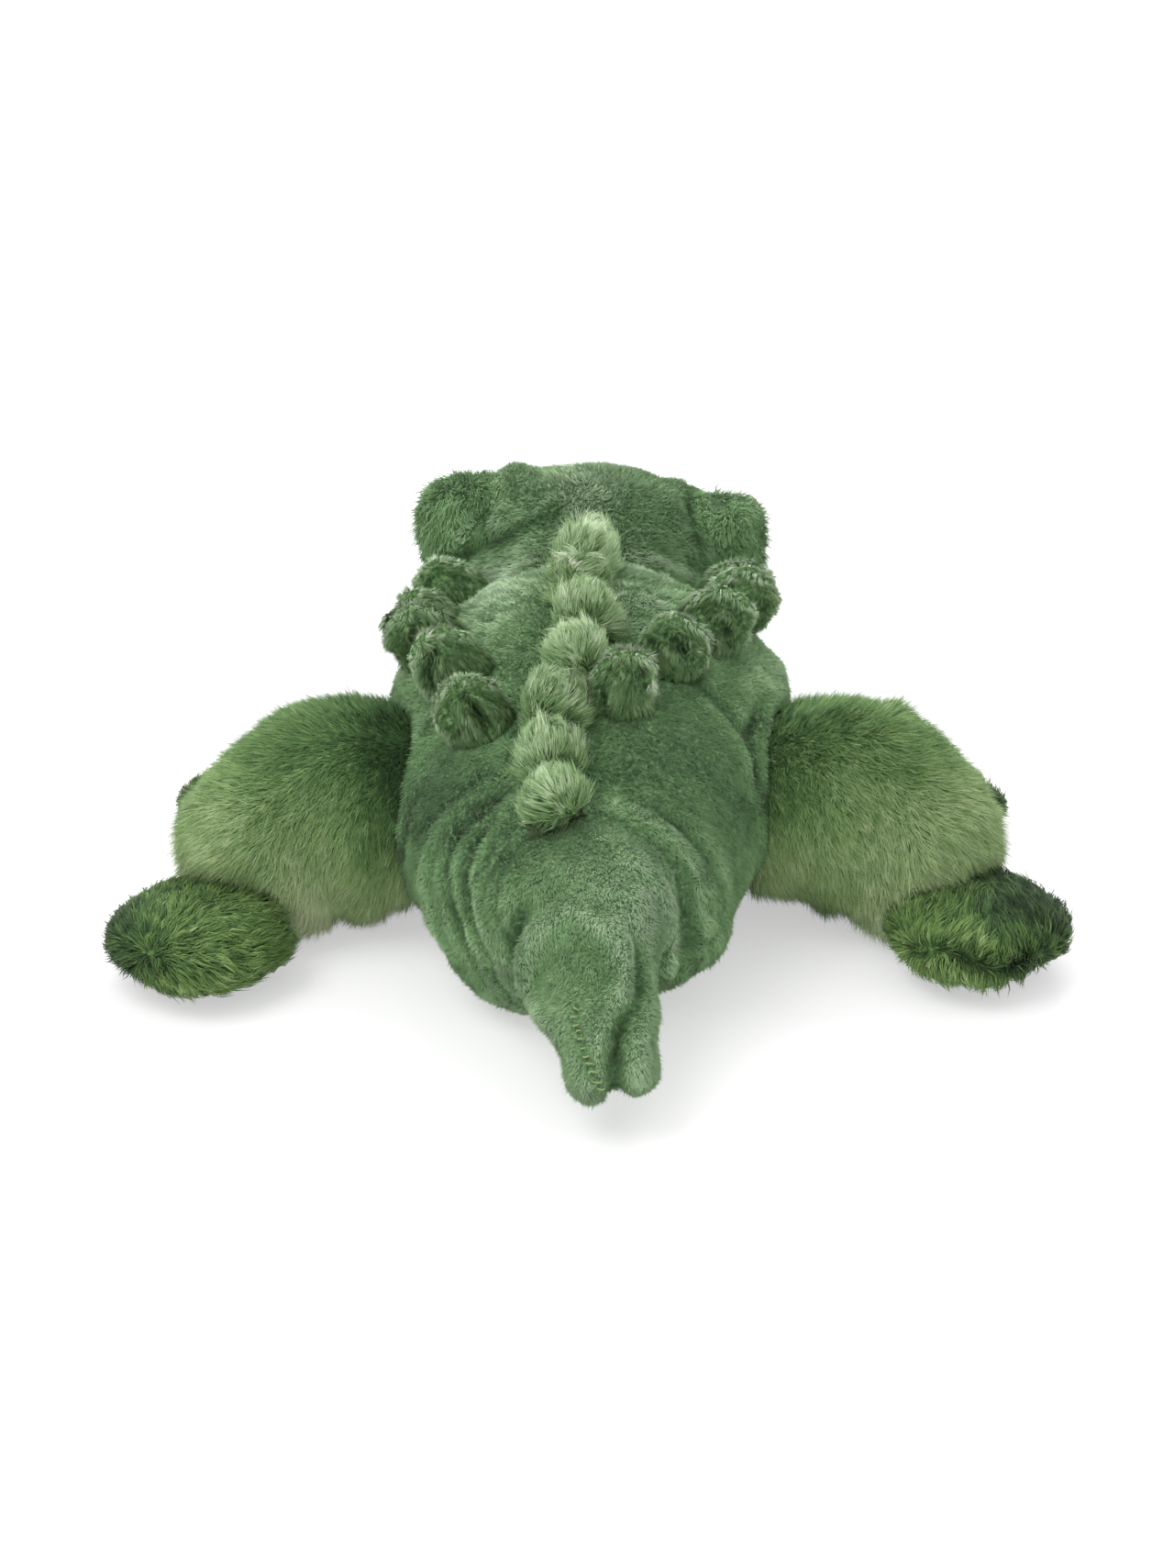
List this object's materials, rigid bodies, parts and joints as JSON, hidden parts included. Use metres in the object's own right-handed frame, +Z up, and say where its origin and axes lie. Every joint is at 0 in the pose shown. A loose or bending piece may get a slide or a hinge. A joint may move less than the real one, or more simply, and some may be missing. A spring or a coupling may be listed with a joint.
{
  "type": "plush crocodile",
  "caption": "Stuffed toy crocodile lying on its belly, with splayed legs, a tapering tail, light ridge tufts and dark side spikes.",
  "frame": {"origin": "on the ground, in the middle of the flat patch that the belly rests on", "axes": "+Z up, +Y from the tail towards the head, +X to the animal's right side"},
  "size_m": [0.262, 0.3434, 0.0991],
  "materials": {
    "body_plush": "short green plush pile",
    "limb_plush": "long fluffy yellow-green pile",
    "foot_plush": "combed dark green pile",
    "tuft_plush": "long pale green pile",
    "spike_plush": "dark green fleece",
    "belly_plush": "short pale pile",
    "stuffing": "loose white fibre filling",
    "eye_plastic": "glossy dark plastic",
    "washer_plastic": "plain white plastic",
    "nostril_cloth": "dark stitched cloth"
  },
  "bodies": {
    "torso": {"torso_cover": "body_plush", "belly_panel": "belly_plush", "torso_filling": "stuffing", "ridge_tuft_1": "tuft_plush", "ridge_tuft_2": "tuft_plush", "ridge_tuft_3": "tuft_plush", "ridge_tuft_4": "tuft_plush", "ridge_tuft_5": "tuft_plush", "ridge_tuft_6": "tuft_plush", "ridge_tuft_7": "tuft_plush", "ridge_tuft_8": "tuft_plush", "left_spike_1": "spike_plush", "left_spike_2": "spike_plush", "left_spike_3": "spike_plush", "left_spike_4": "spike_plush", "left_spike_5": "spike_plush", "right_spike_1": "spike_plush", "right_spike_2": "spike_plush", "right_spike_3": "spike_plush", "right_spike_4": "spike_plush", "right_spike_5": "spike_plush"},
    "head": {"head_cover": "body_plush", "head_filling": "stuffing", "lower_jaw": "belly_plush", "left_brow": "body_plush", "right_brow": "body_plush", "left_eye": "eye_plastic", "right_eye": "eye_plastic", "left_eye_washer": "washer_plastic", "right_eye_washer": "washer_plastic", "left_nostril": "nostril_cloth", "right_nostril": "nostril_cloth"},
    "tail": {"tail_cover": "body_plush", "tail_filling": "stuffing"},
    "left_hind_leg": {"left_hind_leg_cover": "limb_plush", "left_hind_leg_filling": "stuffing", "left_hind_foot": "foot_plush"},
    "right_hind_leg": {"right_hind_leg_cover": "limb_plush", "right_hind_leg_filling": "stuffing", "right_hind_foot": "foot_plush"},
    "left_front_leg": {"left_front_leg_cover": "limb_plush", "left_front_leg_filling": "stuffing", "left_front_foot": "foot_plush"},
    "right_front_leg": {"right_front_leg_cover": "limb_plush", "right_front_leg_filling": "stuffing", "right_front_foot": "foot_plush"}
  },
  "joints": [
    {"name": "head_turn", "type": "hinge", "parent": "torso", "child": "head", "pos_m": [0, 0.088, 0.047], "axis": [0, 0, 1], "range_deg": [-20, 20], "stiffness_Nm_per_rad": 0.02},
    {"name": "tail_swing", "type": "hinge", "parent": "torso", "child": "tail", "pos_m": [-0.004, -0.082, 0.037], "axis": [0, 0, 1], "range_deg": [-20, 20], "stiffness_Nm_per_rad": 0.01},
    {"name": "left_hind_leg_swing", "type": "hinge", "parent": "torso", "child": "left_hind_leg", "pos_m": [-0.058, -0.006, 0.033], "axis": [0, 0, 1], "range_deg": [-12, 14], "stiffness_Nm_per_rad": 0.01},
    {"name": "right_hind_leg_swing", "type": "hinge", "parent": "torso", "child": "right_hind_leg", "pos_m": [0.058, -0.006, 0.033], "axis": [0, 0, 1], "range_deg": [-14, 12], "stiffness_Nm_per_rad": 0.01},
    {"name": "left_front_leg_swing", "type": "hinge", "parent": "torso", "child": "left_front_leg", "pos_m": [-0.06, 0.042, 0.02], "axis": [0, 0, 1], "range_deg": [-15, 5], "stiffness_Nm_per_rad": 0.005},
    {"name": "right_front_leg_swing", "type": "hinge", "parent": "torso", "child": "right_front_leg", "pos_m": [0.06, 0.042, 0.02], "axis": [0, 0, 1], "range_deg": [-5, 15], "stiffness_Nm_per_rad": 0.005}
  ]
}
